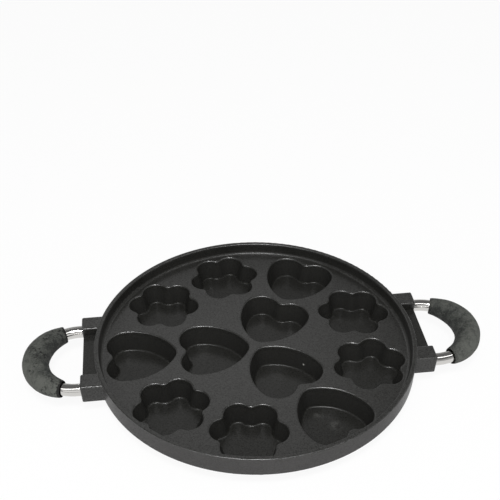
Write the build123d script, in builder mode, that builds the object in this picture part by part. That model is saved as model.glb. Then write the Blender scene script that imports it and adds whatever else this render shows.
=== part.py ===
# Multi-cavity cake pan: one casting with twelve hollows, two fixed rod handles with grips
# Millimetres. +Z is up, the pan stands on z = 0 and its centre is at x = y = 0.
# The handles point along +X (right) and -X (left); -Y is the front.

from build123d import *
from math import cos, radians, sin, sqrt, tan
import os

# Overall pan
rim_diameter = 300.0
rim_width = 4.2
rim_rounding = 1.0
outer_wall_height = 19.4
outer_wall_draft = 1.0
skirt_width = 3.6
plate_recess = 11.5
plate_thickness = 3.4
inner_wall_draft = 3.0
inner_wall_fillet = 3.0

# Hollows
cavity_depth = 20.0
cavity_draft = 12.0
cavity_wall = 3.0
cavity_floor = 3.0
lip_rounding = 1.5
floor_rounding = 2.5
cup_foot_rounding = 2.5

# Flower outline
petal_count = 6
petal_radius = 12.9
petal_notch_radius = 5.2

# Heart outline
heart_lobe_radius = 17.9
heart_lobe_aside = 15.1
heart_notch_radius = 5.9
heart_tip_radius = 13.0
heart_side_radius = 50.0

# Layout of the hollows, and the plate left between them
outer_ring_count = 9
inner_ring_count = 3
plate_beside_wall = 1.75
plate_between_flowers = 5.3
plate_between_hearts = 6.9
plate_between_tips = 7.2

# Brackets cast on at left and right
boss_spacing = 78.6
boss_width = 17.6
boss_reach = 12.0
boss_below_rim = 1.4
boss_rounding = 1.6
boss_draft = 1.0
boss_length = 45.0
web_below_boss = 8.6
web_inset = 1.0
web_rounding = 1.0

# Handle rods
rod_diameter = 11.5
rod_clearance = 0.05
rod_below_rim = 12.0
rod_insertion = 15.0
rod_straight_out = 3.2
rod_end_chamfer = 0.8

# Grips
grip_half_angle = 70.0
grip_middle_diameter = 24.6
grip_end_diameter = 15.8
grip_clearance = 0.25
grip_mouth_diameter = 13.6
grip_mouth_depth = 4.0
grip_end_rounding = 0.8
grip_sections = 7

# Pins through the rod legs
pin_diameter = 4.0
pin_clearance = 0.05
pin_past_rod = 1.5
pin_recess = 0.5
pin_chamfer = 0.4

# Levels and radii that follow from the sizes above
overall_height = plate_recess + cavity_depth + cavity_floor
rim_level = overall_height
plate_level = rim_level - plate_recess
near_plate = plate_thickness / 2
skirt_level = rim_level - outer_wall_height
boss_top = rim_level - boss_below_rim
boss_bottom = skirt_level
boss_height = boss_top - boss_bottom
web_top = boss_top - web_below_boss
rod_level = rim_level - rod_below_rim
rim_radius = rim_diameter / 2
inner_wall_run = plate_recess * tan(radians(inner_wall_draft))
wall_foot_radius = rim_radius - rim_width - inner_wall_run - inner_wall_fillet
hollow_reach = wall_foot_radius - plate_beside_wall
boss_face = rim_radius + boss_reach
boss_middle = boss_face - boss_length / 2
leg_aside = boss_spacing / 2
bend_centre = boss_face + rod_straight_out
pin_place = boss_face - rod_insertion / 2
pin_top = rod_level + rod_diameter / 2 + pin_past_rod

# Flowers as large as the wall and their neighbours leave room for. Their petal centres lie this far
# out, which solves a x^2 + 2 b x + c = 0 in the triangle of pan centre, flower centre and petal centre
half_petal_turn = radians(180 / petal_count)
half_petal_gap = petal_radius + plate_between_flowers / 2
spread = 1 / sin(radians(180 / outer_ring_count))
a = spread ** 2 + 2 * spread * cos(half_petal_turn) + 1
b = half_petal_gap * spread * (spread + cos(half_petal_turn))
c = (half_petal_gap * spread) ** 2 - (hollow_reach - petal_radius) ** 2
petal_centre_radius = (sqrt(b ** 2 - a * c) - b) / a
flower_ring_radius = (petal_centre_radius + half_petal_gap) * spread

# Hearts as long as two in a row have room for, from the lobes of the outer one to the tip of the inner
inner_tip_radius = (heart_tip_radius + plate_between_tips / 2) / sin(radians(180 / inner_ring_count))
outer_lobe_radius = sqrt((hollow_reach - heart_lobe_radius) ** 2 - heart_lobe_aside ** 2)
heart_gap = sqrt((heart_tip_radius + heart_lobe_radius + plate_between_hearts) ** 2 - heart_lobe_aside ** 2)
heart_length = (outer_lobe_radius - inner_tip_radius - heart_gap) / 2
inner_lobe_radius = inner_tip_radius + heart_length

os.makedirs("parts", exist_ok=True)


# Outline of one flower about its middle, a notch on the x axis
def flower_outline():
    step = 360 / petal_count
    half = half_petal_turn
    notch_centre = petal_centre_radius * cos(half) + sqrt(
        (petal_radius + petal_notch_radius) ** 2 - (petal_centre_radius * sin(half)) ** 2
    )
    petal_centre = Vector(petal_centre_radius * cos(half), petal_centre_radius * sin(half))
    notch = Vector(notch_centre, 0)
    touch = petal_centre + (notch - petal_centre).normalized() * petal_radius
    crown = petal_centre * ((petal_centre_radius + petal_radius) / petal_centre_radius)
    notch_bottom = Vector(notch_centre - petal_notch_radius, 0)
    mirrored = Vector(touch.X, -touch.Y)
    with BuildSketch() as outline:
        with BuildLine():
            for k in range(petal_count):
                turn = k * step
                ThreePointArc(mirrored.rotate(Axis.Z, turn), notch_bottom.rotate(Axis.Z, turn),
                              touch.rotate(Axis.Z, turn))
                ThreePointArc(touch.rotate(Axis.Z, turn), crown.rotate(Axis.Z, turn),
                              mirrored.rotate(Axis.Z, turn + step))
        make_face()
    return outline.sketch


# Outline of one heart: its lobes beside the y axis, its notch towards +x, its rounded tip towards -x
def heart_outline():
    lobe = Vector(0, heart_lobe_aside)
    tip = Vector(-heart_length, 0)
    gap = (lobe - tip).length
    across = (lobe - tip).normalized()
    aside = Vector(across.Y, -across.X)
    to_lobe = heart_side_radius - heart_lobe_radius
    to_tip = heart_side_radius - heart_tip_radius
    along = (to_tip ** 2 - to_lobe ** 2 + gap ** 2) / (2 * gap)
    side_centre = tip + across * along + aside * sqrt(to_tip ** 2 - along ** 2)
    side_from = lobe + (lobe - side_centre).normalized() * heart_lobe_radius
    side_to = tip + (tip - side_centre).normalized() * heart_tip_radius
    side_out = ((side_from + side_to) * 0.5 - side_centre).normalized()
    notch = Vector(sqrt((heart_lobe_radius + heart_notch_radius) ** 2 - heart_lobe_aside ** 2), 0)
    touch = lobe + (notch - lobe).normalized() * heart_lobe_radius
    crown = lobe + (touch + side_from - lobe * 2).normalized() * heart_lobe_radius
    notch_bottom = notch - Vector(heart_notch_radius, 0)
    tip_end = tip - Vector(heart_tip_radius, 0)
    with BuildSketch() as outline:
        with BuildLine():
            with BuildLine(mode=Mode.PRIVATE) as upper:
                ThreePointArc(touch, crown, side_from)
                ThreePointArc(side_from, side_centre + side_out * heart_side_radius, side_to)
            add(upper.line)
            mirror(upper.line, about=Plane.XZ)
            ThreePointArc(side_to, tip_end, Vector(side_to.X, -side_to.Y))
            ThreePointArc(touch, notch_bottom, Vector(touch.X, -touch.Y))
        make_face()
    return outline.sketch


# Solid body of one cup: walls of even thickness, drafted, its foot edge rounded
def cup_body(outline):
    with BuildPart() as cup:
        with BuildSketch(Plane.XY.offset(plate_level)):
            add(outline)
            offset(amount=cavity_wall)
        extrude(amount=-(cavity_depth + cavity_floor), taper=cavity_draft)
        fillet(cup.faces().sort_by(Axis.Z)[0].edges(), radius=cup_foot_rounding)
    return cup.part


# The hollow inside one cup, from the plate down to its floor, the floor's edge rounded
def cup_hollow(outline):
    with BuildPart() as hollow:
        with BuildSketch(Plane.XY.offset(plate_level)):
            add(outline)
        extrude(amount=-cavity_depth, taper=cavity_draft)
        fillet(hollow.faces().sort_by(Axis.Z)[0].edges(), radius=floor_rounding)
    return hollow.part


# Profile of the tray, turned round the z axis
def tray_profile():
    outer_run = outer_wall_height * tan(radians(outer_wall_draft))
    skirt_outer = rim_radius - outer_run
    skirt_inner = skirt_outer - skirt_width
    rim_inner = rim_radius - rim_width
    with BuildSketch(Plane.XZ) as profile:
        with BuildLine():
            Polyline(
                (0, plate_level - plate_thickness),
                (skirt_inner, plate_level - plate_thickness),
                (skirt_inner, skirt_level),
                (skirt_outer, skirt_level),
                (rim_radius, rim_level),
                (rim_inner, rim_level),
                (rim_inner - inner_wall_run, plate_level),
                (0, plate_level),
                close=True,
            )
        make_face()
        fillet(profile.vertices().group_by(Axis.Y)[-1], radius=rim_rounding)
        corners = profile.vertices()
        plate_corners = corners.filter_by_position(Axis.Y, plate_level - near_plate, plate_level + near_plate)
        fillet(plate_corners.sort_by(Axis.X)[-1], radius=inner_wall_fillet)
    return profile.sketch


# Angles of the nine outer hollows: every third one is a heart
outer_angles = [180 + k * 360 / outer_ring_count for k in range(outer_ring_count)]
heart_angles = outer_angles[::3]
flower_angles = [a for a in outer_angles if a not in heart_angles]
inner_angles = [180 + k * 360 / inner_ring_count for k in range(inner_ring_count)]


# Places of the hollows of one kind
def ring_places(radius, angles):
    return [Location((radius * cos(radians(a)), radius * sin(radians(a)), 0), (0, 0, a)) for a in angles]


flower_places = ring_places(flower_ring_radius, flower_angles)
heart_places = ring_places(outer_lobe_radius, heart_angles) + ring_places(inner_lobe_radius, inner_angles)

# Bracket on the right: two bosses rounded on top, and the lower web between them, let into the rim
with BuildPart() as bracket:
    with BuildSketch(Plane.XY.offset(boss_top)):
        with Locations((boss_middle, -leg_aside), (boss_middle, leg_aside)):
            Rectangle(boss_length, boss_width)
    extrude(amount=-boss_height, taper=boss_draft)
    upper_edges = bracket.edges().filter_by(lambda e: e.center().Z > boss_bottom + boss_rounding)
    upper_edges = upper_edges.filter_by(lambda e: e.center().X > boss_face - boss_length + boss_rounding)
    fillet(upper_edges, radius=boss_rounding)
    with BuildSketch(Plane.XY.offset(boss_bottom)):
        with Locations((boss_middle - web_inset, 0)):
            Rectangle(boss_length, boss_spacing)
    extrude(amount=web_top - boss_bottom)
    along = bracket.edges().filter_by(Axis.X)
    fillet(along.filter_by_position(Axis.Z, web_top - web_rounding, web_top + web_rounding), radius=web_rounding)
    with Locations((0, 0, rim_level)):
        Cylinder(rim_radius - rim_width / 2, overall_height, align=(Align.CENTER, Align.CENTER, Align.MAX),
                 mode=Mode.SUBTRACT)

# Bores for the rod legs, and below them the holes for the pins
with BuildPart() as bracket_bores:
    for leg_y in (-leg_aside, leg_aside):
        with BuildSketch(Plane(origin=(boss_face + rod_clearance, leg_y, rod_level), z_dir=(-1, 0, 0))):
            Circle(rod_diameter / 2 + rod_clearance)
        extrude(amount=rod_insertion + 2 * rod_clearance)
        with BuildSketch(Plane(origin=(pin_place, leg_y, boss_bottom))):
            Circle(pin_diameter / 2 + pin_clearance)
        extrude(amount=pin_top - boss_bottom)

# Casting: tray, brackets, cups and hollows in one piece
flower, heart = flower_outline(), heart_outline()
flower_cup, flower_void = cup_body(flower), cup_hollow(flower)
heart_cup, heart_void = cup_body(heart), cup_hollow(heart)
with BuildPart() as pan_casting:
    with BuildSketch(Plane.XZ):
        add(tray_profile())
    revolve(axis=Axis.Z)
    add(bracket.part)
    mirror(bracket.part, about=Plane.YZ)
    with Locations(*flower_places):
        add(flower_cup)
    with Locations(*heart_places):
        add(heart_cup)
    with Locations(*flower_places):
        add(flower_void, mode=Mode.SUBTRACT)
    with Locations(*heart_places):
        add(heart_void, mode=Mode.SUBTRACT)
    add(bracket_bores.part, mode=Mode.SUBTRACT)
    mirror(bracket_bores.part, about=Plane.YZ, mode=Mode.SUBTRACT)
    level_faces = pan_casting.faces().filter_by(Plane.XY)
    plate = level_faces.filter_by_position(Axis.Z, plate_level - near_plate, plate_level + near_plate)[0]
    fillet([edge for lip in plate.inner_wires() for edge in lip.edges()], radius=lip_rounding)
pan_casting.part.label = "pan_casting"
export_step(pan_casting.part, "parts/pan_casting.step")

# Right handle rod: two straight legs and a half-round bend, cross-drilled for its pins
leg_end = boss_face - rod_insertion
with BuildPart() as handle_rod_right:
    with BuildLine(Plane.XY.offset(rod_level)):
        Line((leg_end, leg_aside), (bend_centre, leg_aside))
        ThreePointArc((bend_centre, leg_aside), (bend_centre + leg_aside, 0), (bend_centre, -leg_aside))
        Line((bend_centre, -leg_aside), (leg_end, -leg_aside))
    with BuildSketch(Plane(origin=(leg_end, leg_aside, rod_level), z_dir=(1, 0, 0))):
        Circle(rod_diameter / 2)
    sweep()
    chamfer(handle_rod_right.faces().filter_by(Axis.X).edges(), length=rod_end_chamfer)
    with BuildSketch(Plane.XY.offset(boss_bottom)):
        with Locations((pin_place, -leg_aside), (pin_place, leg_aside)):
            Circle(pin_diameter / 2 + pin_clearance)
    extrude(amount=boss_height, mode=Mode.SUBTRACT)
handle_rod_right.part.label = "handle_rod_right"
export_step(handle_rod_right.part, "parts/handle_rod_right.step")

with BuildPart() as handle_rod_left:
    mirror(handle_rod_right.part, about=Plane.YZ)
handle_rod_left.part.label = "handle_rod_left"
export_step(handle_rod_left.part, "parts/handle_rod_left.step")


# Plane square to the bend of the right rod, at an angle from its middle, facing along it to the back
def bend_plane(angle):
    turn = radians(angle)
    return Plane(
        origin=(bend_centre + leg_aside * cos(turn), leg_aside * sin(turn), rod_level),
        x_dir=(cos(turn), sin(turn), 0),
        z_dir=(-sin(turn), cos(turn), 0),
    )


# Grip radius at an angle from its middle: thick in the middle, thin at both ends
def grip_radius(angle):
    swell = 1 - (angle / grip_half_angle) ** 2
    return (grip_end_diameter + (grip_middle_diameter - grip_end_diameter) * swell) / 2


# Right grip: a hollow crescent lofted along the bend, bored for the rod, wider at its mouths
with BuildPart() as grip_right:
    for k in range(grip_sections):
        station = grip_half_angle * (2 * k / (grip_sections - 1) - 1)
        with BuildSketch(bend_plane(station)):
            Circle(grip_radius(station))
    loft()
    fillet(grip_right.faces().filter_by(GeomType.PLANE).edges(), radius=grip_end_rounding)
    with BuildLine():
        bore_start = bend_plane(-grip_half_angle)
        bore_end = bend_plane(grip_half_angle)
        ThreePointArc(bore_start.origin, bend_plane(0).origin, bore_end.origin)
    with BuildSketch(bore_start):
        Circle(rod_diameter / 2 + grip_clearance)
    sweep(mode=Mode.SUBTRACT)
    with BuildSketch(bore_start):
        Circle(grip_mouth_diameter / 2)
    extrude(amount=grip_mouth_depth, both=True, mode=Mode.SUBTRACT)
    with BuildSketch(bore_end):
        Circle(grip_mouth_diameter / 2)
    extrude(amount=grip_mouth_depth, both=True, mode=Mode.SUBTRACT)
grip_right.part.label = "grip_right"
export_step(grip_right.part, "parts/grip_right.step")

with BuildPart() as grip_left:
    mirror(grip_right.part, about=Plane.YZ)
grip_left.part.label = "grip_left"
export_step(grip_left.part, "parts/grip_left.step")

# Pins: one through each boss and rod leg, driven in from beneath
for side, x_sign in (("right", 1), ("left", -1)):
    for end, y_sign in (("front", -1), ("back", 1)):
        with BuildPart() as rod_pin:
            pin_foot = (x_sign * pin_place, y_sign * leg_aside, boss_bottom + pin_recess)
            with BuildSketch(Plane(origin=pin_foot)):
                Circle(pin_diameter / 2)
            extrude(amount=pin_top - boss_bottom - pin_recess)
            chamfer(rod_pin.edges().filter_by(GeomType.CIRCLE), length=pin_chamfer)
        rod_pin.part.label = f"rod_pin_{side}_{end}"
        export_step(rod_pin.part, f"parts/rod_pin_{side}_{end}.step")
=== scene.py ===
"""Looks of a cast cake pan with twelve hollows and two rod handles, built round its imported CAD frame.

Metres. +Z is up, the handles lie along X and -Y is the front, as in the CAD frame.
"""

import logging
from dataclasses import dataclass
from enum import Enum
from math import cos, pi, radians, sin

import bmesh
import bpy
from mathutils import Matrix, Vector


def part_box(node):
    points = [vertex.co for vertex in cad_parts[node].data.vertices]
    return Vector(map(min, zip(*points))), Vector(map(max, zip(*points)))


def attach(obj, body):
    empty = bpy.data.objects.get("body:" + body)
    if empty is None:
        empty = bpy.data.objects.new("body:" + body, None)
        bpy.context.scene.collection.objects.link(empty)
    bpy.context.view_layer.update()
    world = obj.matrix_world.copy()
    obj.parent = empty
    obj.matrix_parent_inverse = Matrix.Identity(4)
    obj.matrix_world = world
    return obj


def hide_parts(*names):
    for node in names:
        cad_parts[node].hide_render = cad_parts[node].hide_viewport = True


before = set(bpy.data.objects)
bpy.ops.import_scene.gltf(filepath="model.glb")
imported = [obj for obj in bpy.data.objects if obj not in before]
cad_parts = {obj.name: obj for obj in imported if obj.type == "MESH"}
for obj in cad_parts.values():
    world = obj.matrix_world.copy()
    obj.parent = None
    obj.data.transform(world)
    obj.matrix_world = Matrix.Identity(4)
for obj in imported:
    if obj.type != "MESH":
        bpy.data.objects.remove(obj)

MM = 0.001
LOG = logging.getLogger("cake_pan")

# Attributes that the grip's mesh carries for its finish; the inner side carries painted shade.
END_NEARNESS = "end_nearness"
INNER_SIDE = "inner_side"
# Inputs of the grip's node tree, with the kind of each.
GRIP_INPUTS: dict[str, str] = {
    "Outline": "Geometry", "Outline Points": "Int", "Steps Round": "Int", "Bend Radius": "Float",
    "Bend Centre": "Float", "Side": "Float", "Level": "Float", "Smooth Radius": "Float",
    "Rough Radius": "Float", "Lump Height": "Float", "Lump Size": "Float", "Half Length": "Float",
    "Finish": "Material",
}
# How near two points of the grip are merged, and the noise that lies on its smooth surface.
SEAM_GAP = 0.02 * MM
LUMP_MIDDLE = 0.62
# Places of the colour sockets on a Mix node.
MIX_FIRST, MIX_SECOND, MIX_RESULT = 6, 7, 2

Colour = tuple[float, float, float, float]
Point = tuple[float, float, float]
Socket = bpy.types.NodeSocket
Value = float | int | bool | tuple | str | Socket


class Side(Enum):
    """The two ends of the pan, by the direction of their handle along X."""

    LEFT = -1
    RIGHT = 1

    @property
    def word(self) -> str:
        """Name of the side as the frame's nodes spell it."""
        return self.name.lower()


class Slot(Enum):
    """Material slots of the record."""

    CASTING = "coated_casting"
    ROD = "polished_rod"
    GRIP = "grip_moulding"
    PIN = "pin_steel"


class NodeGraph:
    """Short calls for building a node tree of any kind."""

    def __init__(self, tree: bpy.types.NodeTree) -> None:
        """Starts from an empty tree.

        Args:
            tree: The node tree that the calls add to.
        """
        self.tree = tree
        tree.nodes.clear()

    def add(
        self, kind: str, inputs: dict[str | int, Value] | None = None, **settings: object
    ) -> bpy.types.Node:
        """Adds one node.

        Args:
            kind: Blender's type name of the node.
            inputs: Values or sockets for the node's inputs, by name or number.
            **settings: Properties of the node itself.

        Returns:
            The new node.
        """
        node = self.tree.nodes.new(kind)
        for name, value in settings.items():
            setattr(node, name, value)
        for name, value in (inputs or {}).items():
            self.feed(node.inputs[name], value)
        return node

    def feed(self, socket: Socket, value: Value) -> None:
        """Links a socket to another, or sets its own value.

        Args:
            socket: The input to fill.
            value: A node's output, or a plain value.
        """
        if isinstance(value, Socket):
            self.tree.links.new(value, socket)
        else:
            socket.default_value = value

    def math(self, operation: str, *values: Value, clamp: bool = False) -> Socket:
        """One Math node.

        Args:
            operation: What the node works out, as Blender names it.
            *values: Its operands.
            clamp: Whether the result is kept from 0 to 1.

        Returns:
            The node's result.
        """
        node = self.add("ShaderNodeMath", dict(enumerate(values)), operation=operation, use_clamp=clamp)
        return node.outputs[0]

    def ramp(
        self, value: Value, low: Value, high: Value, start: float = 0.0, end: float = 1.0
    ) -> Socket:
        """A smooth step from start to end as the value goes from low to high.

        Args:
            value: What the step follows.
            low: The value where the step begins.
            high: The value where it is over.
            start: The result up to low.
            end: The result from high on.

        Returns:
            The stepped value.
        """
        node = self.add(
            "ShaderNodeMapRange",
            {"Value": value, "From Min": low, "From Max": high, "To Min": start, "To Max": end},
            interpolation_type="SMOOTHSTEP",
        )
        return node.outputs[0]

    def noise(self, place: Value, size: Value, detail: float, roughness: float = 0.5) -> Socket:
        """Soft irregular spots.

        Args:
            place: The point that they are read at.
            size: About how wide a spot is.
            detail: How many finer layers the spots have.
            roughness: How strong each finer layer is beside the one before it.

        Returns:
            A value about 0.5 that wanders from spot to spot.
        """
        node = self.add("ShaderNodeTexNoise", {
            "Vector": place, "Scale": self.math("DIVIDE", 1.0, size), "Detail": detail,
            "Roughness": roughness})
        return node.outputs[0]

    def mix_value(self, share: Value, first: Value, second: Value) -> Socket:
        """A number between two others.

        Args:
            share: How much of the second number is in it, from 0 to 1.
            first: The first number.
            second: The second number.

        Returns:
            The mixed number.
        """
        return self.math("MULTIPLY_ADD", share, self.math("SUBTRACT", second, first), first)

    def mix_colour(self, share: Value, first: Value, second: Value) -> Socket:
        """A colour between two others.

        Args:
            share: How much of the second colour is in it, from 0 to 1.
            first: The first colour.
            second: The second colour.

        Returns:
            The mixed colour.
        """
        node = self.add("ShaderNodeMix", {"Factor": share}, data_type="RGBA")
        self.feed(node.inputs[MIX_FIRST], first)
        self.feed(node.inputs[MIX_SECOND], second)
        return node.outputs[MIX_RESULT]


def new_material(name: str) -> tuple[bpy.types.Material, NodeGraph]:
    """An empty node material.

    Args:
        name: The material's name.

    Returns:
        The material and the graph of its nodes.
    """
    material = bpy.data.materials.new(name)
    material.use_nodes = True
    return material, NodeGraph(material.node_tree)


def dress(node: bpy.types.Object, material: bpy.types.Material) -> None:
    """Gives a frame node one material.

    Args:
        node: The frame's object.
        material: Its only material from now on.
    """
    node.data.materials.clear()
    node.data.materials.append(material)


@dataclass(frozen=True)
class Step:
    """A short stretch over which one finish turns into the next, in millimetres from a level."""

    start: float
    end: float

    def at(self, level: float) -> tuple[float, float]:
        """The two ends of the stretch, for a level in metres."""
        return level + self.start * MM, level + self.end * MM


@dataclass(frozen=True)
class Mark:
    """A pale patch or speck on the coat, at a place on the pan in millimetres."""

    x: float
    y: float
    z: float
    radius: float
    strength: float


@dataclass(frozen=True)
class CoatFinish:
    """Dark non-stick coat sprayed on the casting: satin, finely pebbled, paler outside."""

    rim_radius: float
    rim_level: float
    floor_level: float = 3.0 * MM
    plate_recess: float = 11.5 * MM

    inside: Colour = (0.0131, 0.0130, 0.0117, 1)
    inside_light: Colour = (0.0252, 0.0250, 0.0228, 1)
    outside: Colour = (0.060, 0.059, 0.058, 1)
    outside_light: Colour = (0.090, 0.088, 0.087, 1)
    residue: Colour = (0.60, 0.60, 0.57, 1)
    # Share of the outside colour mixed into the hollows' walls: painted light standing in for light
    # that reaches into the hollows.
    hollow_wall_painted_light: float = 0.11

    plate_gloss: float = 0.90
    tray_wall_gloss: float = 0.32
    hollow_floor_gloss: float = 0.40
    hollow_wall_gloss: float = 0.07
    outer_wall_gloss: float = 0.03
    bracket_gloss: float = 0.45
    boss_edge_gloss: float = 0.82
    boss_top_gloss: float = 1.20

    # From the floor of the hollows.
    floor_edge: Step = Step(0.1, 0.8)
    # Where the painted light on the hollows' walls fades in above their foot.
    painted_light_wall_foot: Step = Step(1.0, 3.0)
    # From the plate.
    # Where the painted light on the hollows' walls fades out below the lip.
    painted_light_wall_top: Step = Step(-5.0, -3.0)
    lip: Step = Step(-5.0, -1.5)
    tray_wall_foot: Step = Step(0.2, 0.8)
    # From the top of the rim.
    tray_wall_top: Step = Step(-3.0, -1.5)
    outer_wall_top: Step = Step(-1.1, -0.6)
    boss_edge: Step = Step(-2.9, -2.6)
    boss_top: Step = Step(-1.65, -1.45)
    # From the rim's radius.
    outer_wall: Step = Step(-1.0, -0.7)
    bracket: Step = Step(0.2, 0.6)

    grain_size: float = 1.3 * MM
    grain_height: float = 0.02 * MM
    cloud_size: float = 60 * MM
    stain_size: float = 5 * MM
    cloud_share: float = 0.6
    grain_share: float = 1.6
    light_offset: float = -0.75
    roughness: float = 0.30
    roughness_swing: float = 0.16
    gloss_swing: float = 0.25
    swing_range: tuple[float, float] = (0.35, 0.65)
    stain_range: tuple[float, float] = (0.35, 0.55)
    marks: tuple[Mark, ...] = (
        Mark(43.4, -18.8, 10.3, radius=1.3, strength=1.0),
        Mark(46.6, -77.1, 3.0, radius=8.0, strength=0.045),
        Mark(60.1, -92.1, 3.0, radius=9.0, strength=0.055),
    )

    @property
    def plate_level(self) -> float:
        """Height of the plate over the table."""
        return self.rim_level - self.plate_recess

    def material(self) -> bpy.types.Material:
        """The coat as a material.

        Returns:
            The new material.
        """
        material, graph = new_material("non_stick_coat")
        place = graph.add("ShaderNodeTexCoord").outputs["Object"]
        height = graph.add("ShaderNodeSeparateXYZ", {"Vector": place}).outputs["Z"]
        grain = graph.noise(place, self.grain_size, detail=4.0)
        outer, bracket = self.outer_shares(graph, place, height)
        colour = self.colour(graph, place, height, grain, outer)
        gloss = graph.mix_value(outer, self.inside_gloss(graph, height), self.outer_wall_gloss)
        gloss = graph.mix_value(bracket, gloss, self.gloss_on_bracket(graph, height))
        swing = graph.ramp(grain, *self.swing_range, 1 - self.gloss_swing, 1 + self.gloss_swing)
        gloss = graph.math("MULTIPLY", gloss, swing)
        rough = graph.math("MULTIPLY_ADD", grain, self.roughness_swing,
                           self.roughness - self.roughness_swing / 2)
        bump = graph.add("ShaderNodeBump", {
            "Height": grain, "Strength": 1.0, "Distance": self.grain_height})
        shader = graph.add("ShaderNodeBsdfPrincipled", {
            "Base Color": colour, "Roughness": rough, "Specular IOR Level": gloss,
            "Normal": bump.outputs[0]})
        graph.add("ShaderNodeOutputMaterial", {"Surface": shader.outputs[0]})
        return material

    def colour(
        self, graph: NodeGraph, place: Value, height: Value, grain: Value, outer: Value
    ) -> Socket:
        """Colour of the coat, with its marks, and with painted light that lightens the hollows' walls.

        Args:
            graph: The coat's node graph.
            place: The point on the pan.
            height: Its height over the table.
            grain: The noise of the coat's pebbles.
            outer: The outer wall's share.

        Returns:
            The colour.
        """
        cloud = graph.noise(place, self.cloud_size, detail=3.0)
        light = graph.math("MULTIPLY_ADD", grain, self.grain_share, self.light_offset)
        light = graph.math("MULTIPLY_ADD", cloud, self.cloud_share, light, clamp=True)
        # The hollows' walls are lightened towards the outside colour: painted light.
        above_foot = graph.ramp(height, *self.painted_light_wall_foot.at(self.floor_level))
        below_lip = graph.ramp(height, *self.painted_light_wall_top.at(self.plate_level), 1.0, 0.0)
        hollow_wall = graph.math("MULTIPLY", above_foot, below_lip)
        inside = graph.mix_colour(light, self.inside, self.inside_light)
        painted_light_share = graph.math("MULTIPLY", hollow_wall, self.hollow_wall_painted_light)
        inside = graph.mix_colour(painted_light_share, inside, self.outside)
        outside = graph.mix_colour(light, self.outside, self.outside_light)
        colour = graph.mix_colour(outer, inside, outside)
        stain = graph.noise(place, self.stain_size, detail=3.0)
        for mark in self.marks:
            colour = graph.mix_colour(self.mark_share(graph, place, stain, mark), colour, self.residue)
        return colour

    def inside_gloss(self, graph: NodeGraph, height: Value) -> Socket:
        """How much the coat reflects inside the rim, from the hollows' floors up to the rim.

        Args:
            graph: The coat's node graph.
            height: The point's height over the table.

        Returns:
            The specular level.
        """
        hollow = graph.ramp(height, *self.floor_edge.at(self.floor_level),
                            self.hollow_floor_gloss, self.hollow_wall_gloss)
        lip = graph.ramp(height, *self.lip.at(self.plate_level))
        above_plate = graph.ramp(height, *self.tray_wall_foot.at(self.plate_level))
        below_rim = graph.ramp(height, *self.tray_wall_top.at(self.rim_level), 1.0, 0.0)
        tray_wall = graph.math("MULTIPLY", above_plate, below_rim)
        plate_and_rim = graph.mix_value(lip, hollow, self.plate_gloss)
        return graph.mix_value(tray_wall, plate_and_rim, self.tray_wall_gloss)

    def gloss_on_bracket(self, graph: NodeGraph, height: Value) -> Socket:
        """How much the coat reflects on the brackets: faces, rounded edges and tops of the bosses.

        Args:
            graph: The coat's node graph.
            height: The point's height over the table.

        Returns:
            The specular level.
        """
        side = graph.ramp(height, *self.boss_edge.at(self.rim_level),
                          self.bracket_gloss, self.boss_edge_gloss)
        top = graph.ramp(height, *self.boss_top.at(self.rim_level))
        return graph.mix_value(top, side, self.boss_top_gloss)

    def outer_shares(self, graph: NodeGraph, place: Value, height: Value) -> tuple[Socket, Socket]:
        """Where the coat is the outer wall's and where it is the brackets'.

        Args:
            graph: The coat's node graph.
            place: The point on the pan.
            height: Its height over the table.

        Returns:
            The outer wall's share and the brackets' share, each from 0 to 1.
        """
        flat = graph.add("ShaderNodeVectorMath", {0: place, 1: (1.0, 1.0, 0.0)}, operation="MULTIPLY")
        length = graph.add("ShaderNodeVectorMath", {0: flat.outputs[0]}, operation="LENGTH")
        radius = length.outputs["Value"]
        bracket = graph.ramp(radius, *self.bracket.at(self.rim_radius))
        wall = graph.ramp(radius, *self.outer_wall.at(self.rim_radius))
        below_rim = graph.ramp(height, *self.outer_wall_top.at(self.rim_level), 1.0, 0.0)
        wall = graph.math("MULTIPLY", wall, below_rim)
        return graph.math("MULTIPLY", wall, graph.math("SUBTRACT", 1.0, bracket)), bracket

    def mark_share(self, graph: NodeGraph, place: Value, stain: Value, mark: Mark) -> Socket:
        """How much of a mark's residue covers each point.

        Args:
            graph: The coat's node graph.
            place: The point on the pan.
            stain: The noise that frays the mark.
            mark: The mark.

        Returns:
            The share, from 0 to the mark's strength.
        """
        centre = (mark.x * MM, mark.y * MM, mark.z * MM)
        away = graph.add("ShaderNodeVectorMath", {0: place, 1: centre}, operation="DISTANCE")
        near = graph.ramp(away.outputs["Value"], 0.0, mark.radius * MM, mark.strength, 0.0)
        return graph.math("MULTIPLY", near, graph.ramp(stain, *self.stain_range))


@dataclass(frozen=True)
class SteelFinish:
    """Bare steel: polished on the rods, plain on the pins."""

    name: str
    colour: Colour
    roughness: float
    roughness_swing: float = 0.05
    streak_size: float = 1 * MM
    streak_stretch: Point = (0.06, 0.9, 0.9)
    film_size: float = 11 * MM

    def material(self) -> bpy.types.Material:
        """The steel as a material.

        Returns:
            The new material.
        """
        material, graph = new_material(self.name)
        place = graph.add("ShaderNodeTexCoord").outputs["Object"]
        drawn = graph.add("ShaderNodeMapping", {"Vector": place, "Scale": self.streak_stretch})
        streaks = graph.noise(drawn.outputs[0], self.streak_size, detail=3.0)
        film = graph.noise(place, self.film_size, detail=2.0)
        wear = graph.math("ADD", streaks, film)
        rough = graph.math("MULTIPLY_ADD", wear, self.roughness_swing,
                           self.roughness - self.roughness_swing)
        shader = graph.add("ShaderNodeBsdfPrincipled", {
            "Base Color": self.colour, "Metallic": 1.0, "Roughness": rough})
        graph.add("ShaderNodeOutputMaterial", {"Surface": shader.outputs[0]})
        return material


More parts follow.
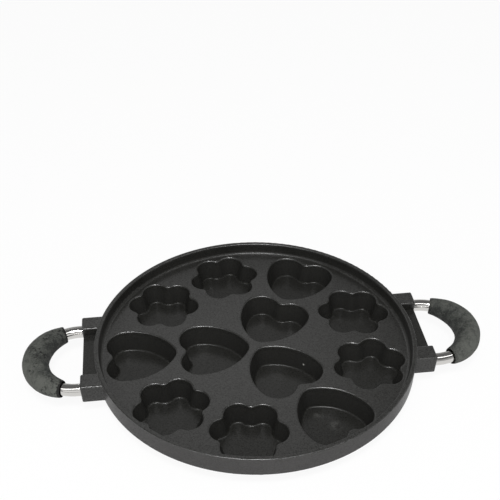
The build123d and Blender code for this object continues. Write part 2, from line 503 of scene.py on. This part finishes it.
@dataclass(frozen=True)
class GripFinish:
    """Matte mottled grey-green moulding with a fine rough skin, scorched spots, near-black ends and
    painted shade on its inner side.
    """

    dark: Colour = (0.022, 0.024, 0.022, 1)
    light: Colour = (0.092, 0.096, 0.086, 1)
    char: Colour = (0.008, 0.008, 0.0075, 1)
    roughness: float = 0.82
    gloss: float = 0.35
    skin_size: float = 1.6 * MM
    skin_height: float = 0.25 * MM
    skin_share: float = 2.4
    mottle_size: float = 6 * MM
    mottle_share: float = 1.8
    light_offset: float = -1.5
    # Painted shade: how much darker the grip's inner side is made.
    painted_inner_shade: float = 0.45
    spot_size: float = 2.0 * MM
    spot_range: tuple[float, float] = (0.50, 0.60)
    spot_field_size: float = 16 * MM
    spot_field_range: tuple[float, float] = (0.46, 0.58)
    spot_strength: float = 0.9
    char_range: tuple[float, float] = (0.94, 0.97)
    char_fray: float = 0.10
    right_char: float = 0.3
    left_to_right: Step = Step(0.0, 1.0)

    def material(self) -> bpy.types.Material:
        """The moulding as a material.

        Returns:
            The new material.
        """
        material, graph = new_material("grip_skin")
        place = graph.add("ShaderNodeTexCoord").outputs["Object"]
        skin = graph.noise(place, self.skin_size, detail=5.0, roughness=0.7)
        mottle = graph.noise(place, self.mottle_size, detail=4.0)
        inner = graph.add("ShaderNodeAttribute", attribute_name=INNER_SIDE).outputs["Fac"]
        light = graph.math("MULTIPLY_ADD", mottle, self.mottle_share, self.light_offset)
        light = graph.math("MULTIPLY_ADD", skin, self.skin_share, light)
        # Painted shade darkens the grip's inner side, towards the bend's centre.
        light = graph.math("MULTIPLY_ADD", inner, -self.painted_inner_shade, light, clamp=True)
        colour = graph.mix_colour(light, self.dark, self.light)
        colour = graph.mix_colour(self.charred(graph, place), colour, self.char)
        bump = graph.add("ShaderNodeBump", {
            "Height": skin, "Strength": 1.0, "Distance": self.skin_height})
        shader = graph.add("ShaderNodeBsdfPrincipled", {
            "Base Color": colour, "Roughness": self.roughness, "Specular IOR Level": self.gloss,
            "Normal": bump.outputs[0]})
        graph.add("ShaderNodeOutputMaterial", {"Surface": shader.outputs[0]})
        return material

    def charred(self, graph: NodeGraph, place: Value) -> Socket:
        """Where the moulding is darkened near-black: scorched spots, and a band at its ends, more on
        the left grip.

        Args:
            graph: The moulding's node graph.
            place: The point on the grip.

        Returns:
            The scorched share, from 0 to 1.
        """
        spots = graph.noise(place, self.spot_size, detail=3.0)
        field = graph.noise(place, self.spot_field_size, detail=2.0)
        spotted = graph.math("MULTIPLY", graph.ramp(spots, *self.spot_range),
                             graph.ramp(field, *self.spot_field_range, 0.0, self.spot_strength))
        along = graph.add("ShaderNodeAttribute", attribute_name=END_NEARNESS).outputs["Fac"]
        along = graph.math("SUBTRACT", along, self.char_fray / 2)
        frayed = graph.math("MULTIPLY_ADD", spots, self.char_fray, along)
        # A near-black band at each end of the grip, round its mouth.
        ends = graph.ramp(frayed, *self.char_range)
        sideways = graph.add("ShaderNodeSeparateXYZ", {"Vector": place}).outputs["X"]
        strength = graph.ramp(sideways, *self.left_to_right.at(0.0), 1.0, self.right_char)
        return graph.math("MULTIPLY", graph.math("MAXIMUM", spotted, ends), strength)


@dataclass(frozen=True)
class FloorFinish:
    """White table top that stays white around the object's soft shadow."""

    colour: Colour = (0.9, 0.9, 0.9, 1)
    own_light: float = 0.93

    def material(self) -> bpy.types.Material:
        """The floor as a material.

        Returns:
            The new material.
        """
        material, graph = new_material("table_white")
        path = graph.add("ShaderNodeLightPath").outputs
        seen = graph.math("MAXIMUM", path["Is Camera Ray"], path["Is Glossy Ray"])
        seen = graph.math("MAXIMUM", seen, path["Is Transmission Ray"])
        diffuse = graph.add("ShaderNodeBsdfDiffuse", {"Color": self.colour})
        white = graph.add("ShaderNodeEmission", {"Color": (1, 1, 1, 1), "Strength": 1.0})
        share = graph.math("MULTIPLY", seen, self.own_light)
        mixed = graph.add("ShaderNodeMixShader", {
            0: share, 1: diffuse.outputs[0], 2: white.outputs[0]})
        graph.add("ShaderNodeOutputMaterial", {"Surface": mixed.outputs[0]})
        return material


@dataclass
class PanCasting:
    """The casting: tray, twelve hollows and the two brackets, shaped in CAD and coated here."""

    node_name: str = "pan_casting"

    def build(self) -> None:
        """Coats the frame's casting, with the levels of the coat taken from its box."""
        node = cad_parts[self.node_name]
        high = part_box(self.node_name)[1]
        dress(node, CoatFinish(rim_radius=high.y, rim_level=high.z).material())
        LOG.info("%s coated", self.node_name)


@dataclass
class Handle:
    """One handle: the bent rod from the frame, and its crescent grip swept here round the bend."""

    side: Side
    rod_finish: bpy.types.Material
    grip_finish: bpy.types.Material
    half_angle: float = radians(70)
    end_radius: float = 7.9 * MM
    bore_gap: float = 0.25 * MM
    mouth_radius: float = 7.1 * MM
    mouth_depth: float = 5 * MM
    lip_length: float = 0.9 * MM
    lip_steps: int = 5
    half_steps: int = 44
    round_steps: int = 96
    lump_height: float = 0.9 * MM
    lump_size: float = 13 * MM
    sharp_angle: float = radians(50)

    def __post_init__(self) -> None:
        """Reads the rod and grip sizes from the frame."""
        low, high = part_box(f"handle_rod_{self.side.word}")
        self.rod_radius = (high.z - low.z) / 2
        self.level = (high.z + low.z) / 2
        self.bend_radius = high.y - self.rod_radius
        reach = max(high.x, -low.x)
        self.bend_centre = reach - self.rod_radius - self.bend_radius
        low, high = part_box(f"grip_{self.side.word}")
        self.middle_radius = (high.z - low.z) / 2

    def radius_at(self, share: float) -> float:
        """Outer radius of the grip.

        Args:
            share: Place along the grip, from -1 at one end to 1 at the other.

        Returns:
            The radius there, in metres.
        """
        return self.end_radius + (self.middle_radius - self.end_radius) * (1 - share ** 2)

    def outline(self) -> list[tuple[float, float]]:
        """Closed outline of the grip's wall, as if the bend were straight.

        Returns:
            Points as (place along the grip, distance from its middle line), in metres.
        """
        half = self.half_angle * self.bend_radius
        lip = (self.end_radius - self.mouth_radius) / 2
        floor = half - self.mouth_depth
        bore = self.rod_radius + self.bore_gap
        run = [half * k / self.half_steps for k in range(self.half_steps)]
        points = [(s, self.radius_at(s / half)) for s in run if s < half - self.lip_length]
        turns = [pi / 2 * k / self.lip_steps for k in range(self.lip_steps + 1)]
        points += [(half - self.lip_length * (1 - sin(turn)), self.end_radius - lip * (1 - cos(turn)))
                   for turn in turns]
        points += [(half - lip * (1 - cos(turn)), self.mouth_radius + lip * (1 - sin(turn)))
                   for turn in turns[1:]]
        points += [(floor, self.mouth_radius), (floor, bore)]
        points += [(s, bore) for s in reversed(run) if s < floor - self.lip_length]
        return points + [(-s, r) for s, r in reversed(points[1:-1])]

    def build(self) -> None:
        """Polishes the rod and builds the grip."""
        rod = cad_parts[f"handle_rod_{self.side.word}"]
        dress(rod, self.rod_finish)
        LOG.info("%s polished", rod.name)
        grip = self.sweep_grip()
        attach(grip, "root")
        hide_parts(f"grip_{self.side.word}")
        LOG.info("%s: %d faces", grip.name, len(grip.data.polygons))

    def sweep_grip(self) -> bpy.types.Object:
        """Turns the outline round its middle line and bends it round the rod with Geometry Nodes.

        Returns:
            The grip as a plain mesh object.
        """
        points = self.outline()
        mesh = bpy.data.meshes.new("grip_outline")
        mesh.from_pydata([(s, r, 0.0) for s, r in points], [], [])
        carrier = bpy.data.objects.new("grip_outline", mesh)
        bpy.context.scene.collection.objects.link(carrier)
        sizes = {
            "Outline Points": len(points),
            "Steps Round": self.round_steps,
            "Bend Radius": self.bend_radius,
            "Bend Centre": self.bend_centre,
            "Side": float(self.side.value),
            "Level": self.level,
            "Smooth Radius": self.mouth_radius,
            "Rough Radius": self.end_radius,
            "Lump Height": self.lump_height,
            "Lump Size": self.lump_size,
            "Half Length": self.half_angle * self.bend_radius,
            "Finish": self.grip_finish,
        }
        tree = grip_tree()
        modifier = carrier.modifiers.new("sweep", "NODES")
        modifier.node_group = tree
        for item in tree.interface.items_tree:
            if item.name in sizes:
                modifier[item.identifier] = sizes[item.name]
        bpy.context.view_layer.update()
        evaluated = carrier.evaluated_get(bpy.context.evaluated_depsgraph_get())
        swept = bpy.data.meshes.new_from_object(evaluated)
        grip = bpy.data.objects.new(f"grip_skin_{self.side.word}", swept)
        bpy.context.scene.collection.objects.link(grip)
        bpy.data.objects.remove(carrier)
        turn_outwards(grip.data)
        grip.data.set_sharp_from_angle(angle=self.sharp_angle)
        return grip


def turn_outwards(mesh: bpy.types.Mesh) -> None:
    """Points the faces of a closed mesh outwards.

    Args:
        mesh: The mesh, changed in place.
    """
    shape = bmesh.new()
    shape.from_mesh(mesh)
    bmesh.ops.recalc_face_normals(shape, faces=shape.faces)
    shape.to_mesh(mesh)
    shape.free()


def grip_tree() -> bpy.types.NodeTree:
    """Geometry Nodes that turn a closed outline round its line, bend it round a rod and roughen it.

    Returns:
        The node tree, with named inputs for its sizes.
    """
    tree = bpy.data.node_groups.new("bent_grip", "GeometryNodeTree")
    graph = NodeGraph(tree)
    for name, kind in GRIP_INPUTS.items():
        tree.interface.new_socket(name=name, in_out="INPUT", socket_type=f"NodeSocket{kind}")
    tree.interface.new_socket(name="Grip", in_out="OUTPUT", socket_type="NodeSocketGeometry")
    given = graph.add("NodeGroupInput").outputs
    rows = graph.math("ADD", given["Outline Points"], 1)
    columns = graph.math("ADD", given["Steps Round"], 1)
    sheet = graph.add("GeometryNodeMeshGrid", {"Vertices X": rows, "Vertices Y": columns}).outputs[0]

    number = graph.add("GeometryNodeInputIndex").outputs[0]
    row = graph.math("FLOOR", graph.math("DIVIDE", graph.math("ADD", number, 0.5), columns))
    column = graph.math("SUBTRACT", number, graph.math("MULTIPLY", row, columns))
    spot = graph.add("GeometryNodeInputPosition").outputs[0]
    place = graph.math("FLOORED_MODULO", row, given["Outline Points"])
    sample = graph.add("GeometryNodeSampleIndex", {"Geometry": given["Outline"], "Index": place},
                       data_type="FLOAT_VECTOR", domain="POINT")
    graph.feed(next(s for s in sample.inputs if s.name == "Value" and s.enabled), spot)
    sampled = next(s for s in sample.outputs if s.enabled)
    parts = graph.add("ShaderNodeSeparateXYZ", {0: sampled}).outputs
    along, radius = parts["X"], parts["Y"]

    turn = graph.math("DIVIDE", graph.math("MULTIPLY", column, 2 * pi), given["Steps Round"])
    bend = graph.math("DIVIDE", along, given["Bend Radius"])
    sideways = graph.math("COSINE", turn)
    out = graph.math("ADD", given["Bend Radius"], graph.math("MULTIPLY", radius, sideways))
    reach = graph.math("MULTIPLY", out, graph.math("COSINE", bend))
    reach = graph.math("ADD", given["Bend Centre"], reach)
    bent = graph.add("ShaderNodeCombineXYZ", {
        "X": graph.math("MULTIPLY", reach, given["Side"]),
        "Y": graph.math("MULTIPLY", out, graph.math("SINE", bend)),
        "Z": graph.math("MULTIPLY_ADD", radius, graph.math("SINE", turn), given["Level"])}).outputs[0]
    rough = graph.ramp(radius, given["Smooth Radius"], given["Rough Radius"])
    kept = graph.add("GeometryNodeCaptureAttribute", {"Geometry": sheet})
    kept.capture_items.new("FLOAT", "Rough")
    graph.feed(kept.inputs["Rough"], rough)
    nearness = graph.math("DIVIDE", graph.math("ABSOLUTE", along), given["Half Length"])
    marked = graph.add("GeometryNodeStoreNamedAttribute", {
        "Geometry": kept.outputs["Geometry"], "Name": END_NEARNESS, "Value": nearness})
    # The side that faces the bend's centre, where the grip's finish paints shade.
    inwards = graph.math("MULTIPLY", sideways, -1.0)
    shaded = graph.add("GeometryNodeStoreNamedAttribute", {
        "Geometry": marked.outputs[0], "Name": INNER_SIDE, "Value": inwards})
    formed = graph.add("GeometryNodeSetPosition", {"Geometry": shaded.outputs[0], "Position": bent})
    closed = graph.add("GeometryNodeMergeByDistance", {
        "Geometry": formed.outputs[0], "Distance": SEAM_GAP})

    lumps = graph.math("SUBTRACT", graph.noise(spot, given["Lump Size"], detail=3.0), LUMP_MIDDLE)
    swing = graph.math("MULTIPLY", lumps, given["Lump Height"])
    swing = graph.math("MULTIPLY", swing, kept.outputs["Rough"])
    height = graph.math("MULTIPLY", swing, given["Side"])
    outwards = graph.add("GeometryNodeInputNormal").outputs[0]
    push = graph.add("ShaderNodeVectorMath", {0: outwards, "Scale": height}, operation="SCALE")
    lumpy = graph.add("GeometryNodeSetPosition", {
        "Geometry": closed.outputs[0], "Offset": push.outputs[0]})
    smooth = graph.add("GeometryNodeSetShadeSmooth", {"Geometry": lumpy.outputs[0]})
    real = graph.add("GeometryNodeRealizeInstances", {"Geometry": smooth.outputs[0]})
    dressed = graph.add("GeometryNodeSetMaterial", {
        "Geometry": real.outputs[0], "Material": given["Finish"]})
    graph.add("NodeGroupOutput", {"Grip": dressed.outputs[0]})
    return tree


@dataclass
class RodPins:
    """The four pins that hold the rods, as the frame has them."""

    finish: bpy.types.Material

    def build(self) -> None:
        """Gives each pin its steel."""
        for name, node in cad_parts.items():
            if name.startswith("rod_pin_"):
                dress(node, self.finish)
                LOG.info("%s dressed", name)


@dataclass
class Softbox:
    """A rectangular lamp that faces a point on the pan."""

    name: str
    place: Point
    target: Point
    width: float
    depth: float
    watts: float

    def build(self) -> None:
        """Hangs the lamp."""
        lamp = bpy.data.lights.new(self.name, "AREA")
        lamp.shape = "RECTANGLE"
        lamp.size, lamp.size_y, lamp.energy = self.width, self.depth, self.watts
        holder = bpy.data.objects.new(self.name, lamp)
        holder.location = self.place
        aim = Vector(self.target) - Vector(self.place)
        holder.rotation_euler = aim.to_track_quat("-Z", "Y").to_euler()
        bpy.context.scene.collection.objects.link(holder)


@dataclass
class Studio:
    """White table, soft lamps, pale surroundings and the camera."""

    floor_size: float = 16.0
    softboxes: tuple[Softbox, ...] = (
        Softbox("key_softbox", (-0.12, -0.62, 1.45), (0, 0, 0), width=0.38, depth=0.32, watts=14.0),
        Softbox("strip_softbox", (0.12, -0.62, 1.45), (0, 0, 0), width=3.4, depth=0.26, watts=10.0),
        Softbox("back_softbox", (0.03, 1.24, 1.28), (0, 0, 0), width=0.75, depth=0.42, watts=0.66),
        Softbox("front_softbox", (-0.15, -0.85, 0.45), (0, -0.05, 0), width=1.2, depth=0.6, watts=1.4),
    )
    horizon: Colour = (0.50, 0.50, 0.50, 1)
    wall: Colour = (0.17, 0.17, 0.17, 1)
    horizon_range: tuple[float, float] = (0.36, 0.50)
    camera_place: Point = (-0.0766, -0.5855, 0.5633)
    camera_view: Point = (0.0879, 0.7203, -0.6881)
    focal_pixels: float = 847.44
    frame_pixels: float = 500.0
    view_rise: float = 110.0
    sensor: float = 36.0

    def build(self) -> None:
        """Sets the table, the lamps, the surroundings and the camera."""
        self.lay_floor()
        for softbox in self.softboxes:
            softbox.build()
        self.light_world()
        self.place_camera()

    def lay_floor(self) -> None:
        """A flat sheet under the pan's feet."""
        half = self.floor_size / 2
        mesh = bpy.data.meshes.new("table_top")
        around = [(-half, -half, 0), (half, -half, 0), (half, half, 0), (-half, half, 0)]
        mesh.from_pydata(around, [], [(0, 1, 2, 3)])
        floor = bpy.data.objects.new("table_top", mesh)
        mesh.materials.append(FloorFinish().material())
        bpy.context.scene.collection.objects.link(floor)

    def light_world(self) -> None:
        """Pale at the horizon and dim above it."""
        world = bpy.data.worlds.new("studio_room")
        world.use_nodes = True
        graph = NodeGraph(world.node_tree)
        direction = graph.add("ShaderNodeTexCoord").outputs["Generated"]
        rise = graph.add("ShaderNodeSeparateXYZ", {"Vector": direction}).outputs["Z"]
        above = graph.ramp(rise, *self.horizon_range)
        colour = graph.mix_colour(above, self.horizon, self.wall)
        light = graph.add("ShaderNodeBackground", {"Color": colour, "Strength": 1.0})
        graph.add("ShaderNodeOutputWorld", {"Surface": light.outputs[0]})
        bpy.context.scene.world = world

    def place_camera(self) -> None:
        """The photograph's viewpoint, with its frame raised as the photograph's is."""
        lens = bpy.data.cameras.new("front_camera")
        lens.sensor_width = self.sensor
        lens.lens = self.focal_pixels / self.frame_pixels * self.sensor
        lens.shift_y = self.view_rise / self.frame_pixels
        camera = bpy.data.objects.new("front_camera", lens)
        camera.location = self.camera_place
        camera.rotation_euler = Vector(self.camera_view).to_track_quat("-Z", "Y").to_euler()
        bpy.context.scene.collection.objects.link(camera)
        bpy.context.scene.camera = camera


def main() -> None:
    """Dresses the frame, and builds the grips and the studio."""
    logging.basicConfig(level=logging.INFO, format="%(name)s: %(message)s")
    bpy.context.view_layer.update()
    bpy.context.scene.view_settings.view_transform = "Standard"
    rod_steel = SteelFinish("polished_rod_steel", colour=(0.61, 0.60, 0.58, 1), roughness=0.09)
    pin_steel = SteelFinish("plain_pin_steel", colour=(0.50, 0.50, 0.50, 1), roughness=0.34)
    rod_material, grip_material = rod_steel.material(), GripFinish().material()
    PanCasting().build()
    for side in Side:
        Handle(side, rod_material, grip_material).build()
    RodPins(pin_steel.material()).build()
    Studio().build()


if __name__ == "__main__":
    main()
